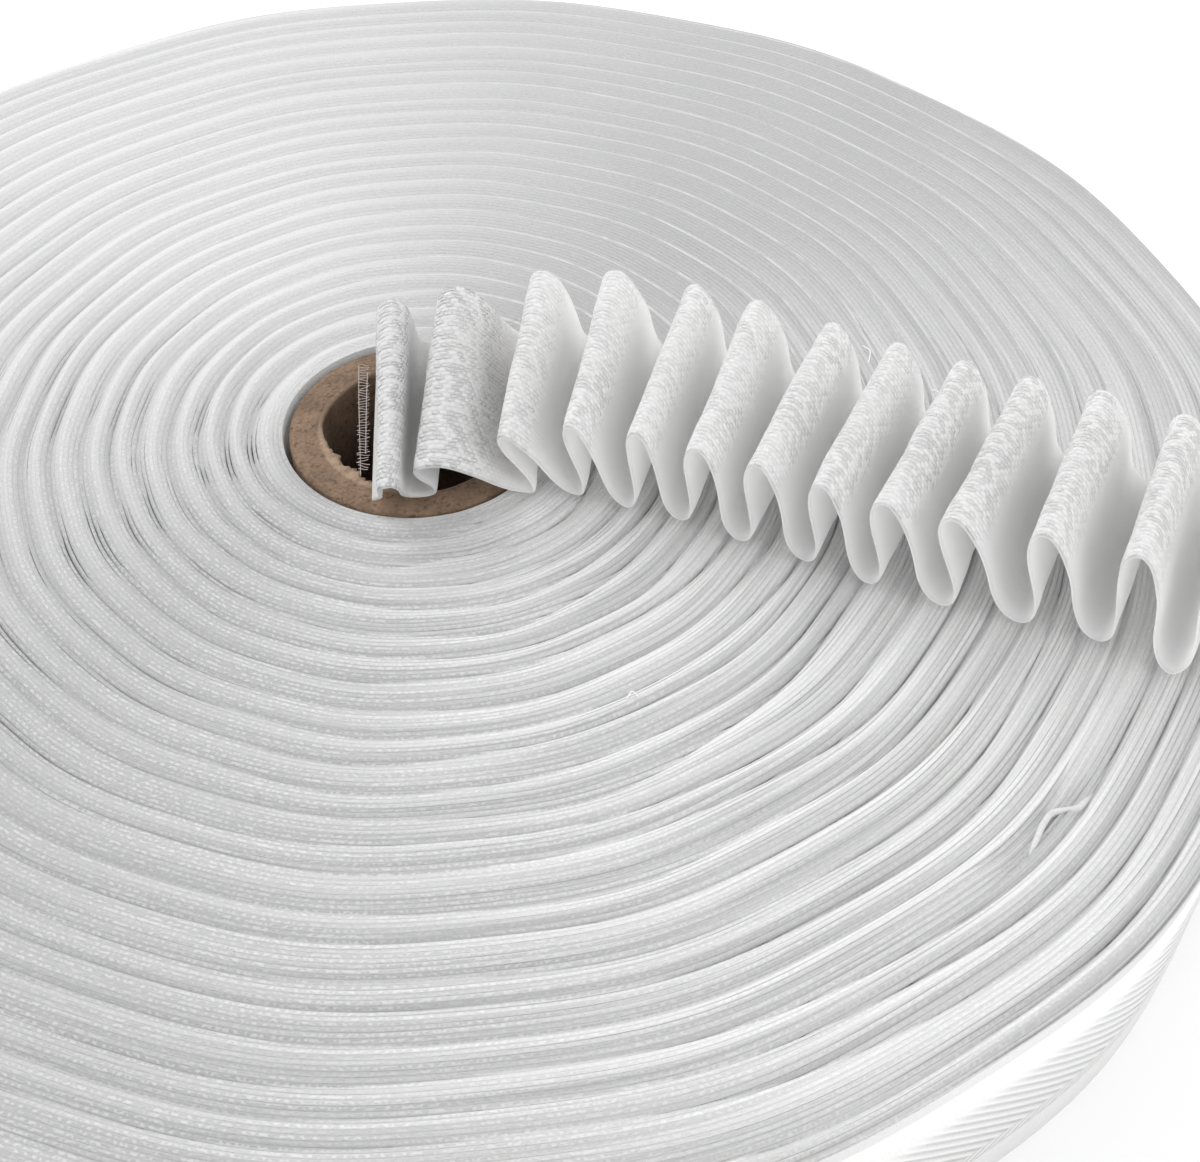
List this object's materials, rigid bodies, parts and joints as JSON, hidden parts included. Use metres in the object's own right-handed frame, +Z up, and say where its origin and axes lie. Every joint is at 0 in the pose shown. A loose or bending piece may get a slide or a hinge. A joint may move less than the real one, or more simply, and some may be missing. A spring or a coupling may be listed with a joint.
{
  "type": "roll of curtain heading tape",
  "caption": "Flat roll of white woven heading tape on a brown cardboard core, with the loose end drawn into upright pleats and laid across the face.",
  "frame": {"origin": "on the floor under the centre of the roll's rim", "axes": "+Z up along the roll's axis, front of the roll towards -Y, the loose end runs from the core towards +X"},
  "size_m": [0.185, 0.1838, 0.0375],
  "materials": {
    "wound_tape": "matt white woven polyester, seen on its selvedges",
    "cardboard": "plain brown board",
    "gathered_tape": "matt white ribbed weave"
  },
  "bodies": {
    "root": {"wound_roll": "wound_tape", "core_tube": "cardboard", "gathered_end": "gathered_tape"}
  },
  "joints": []
}
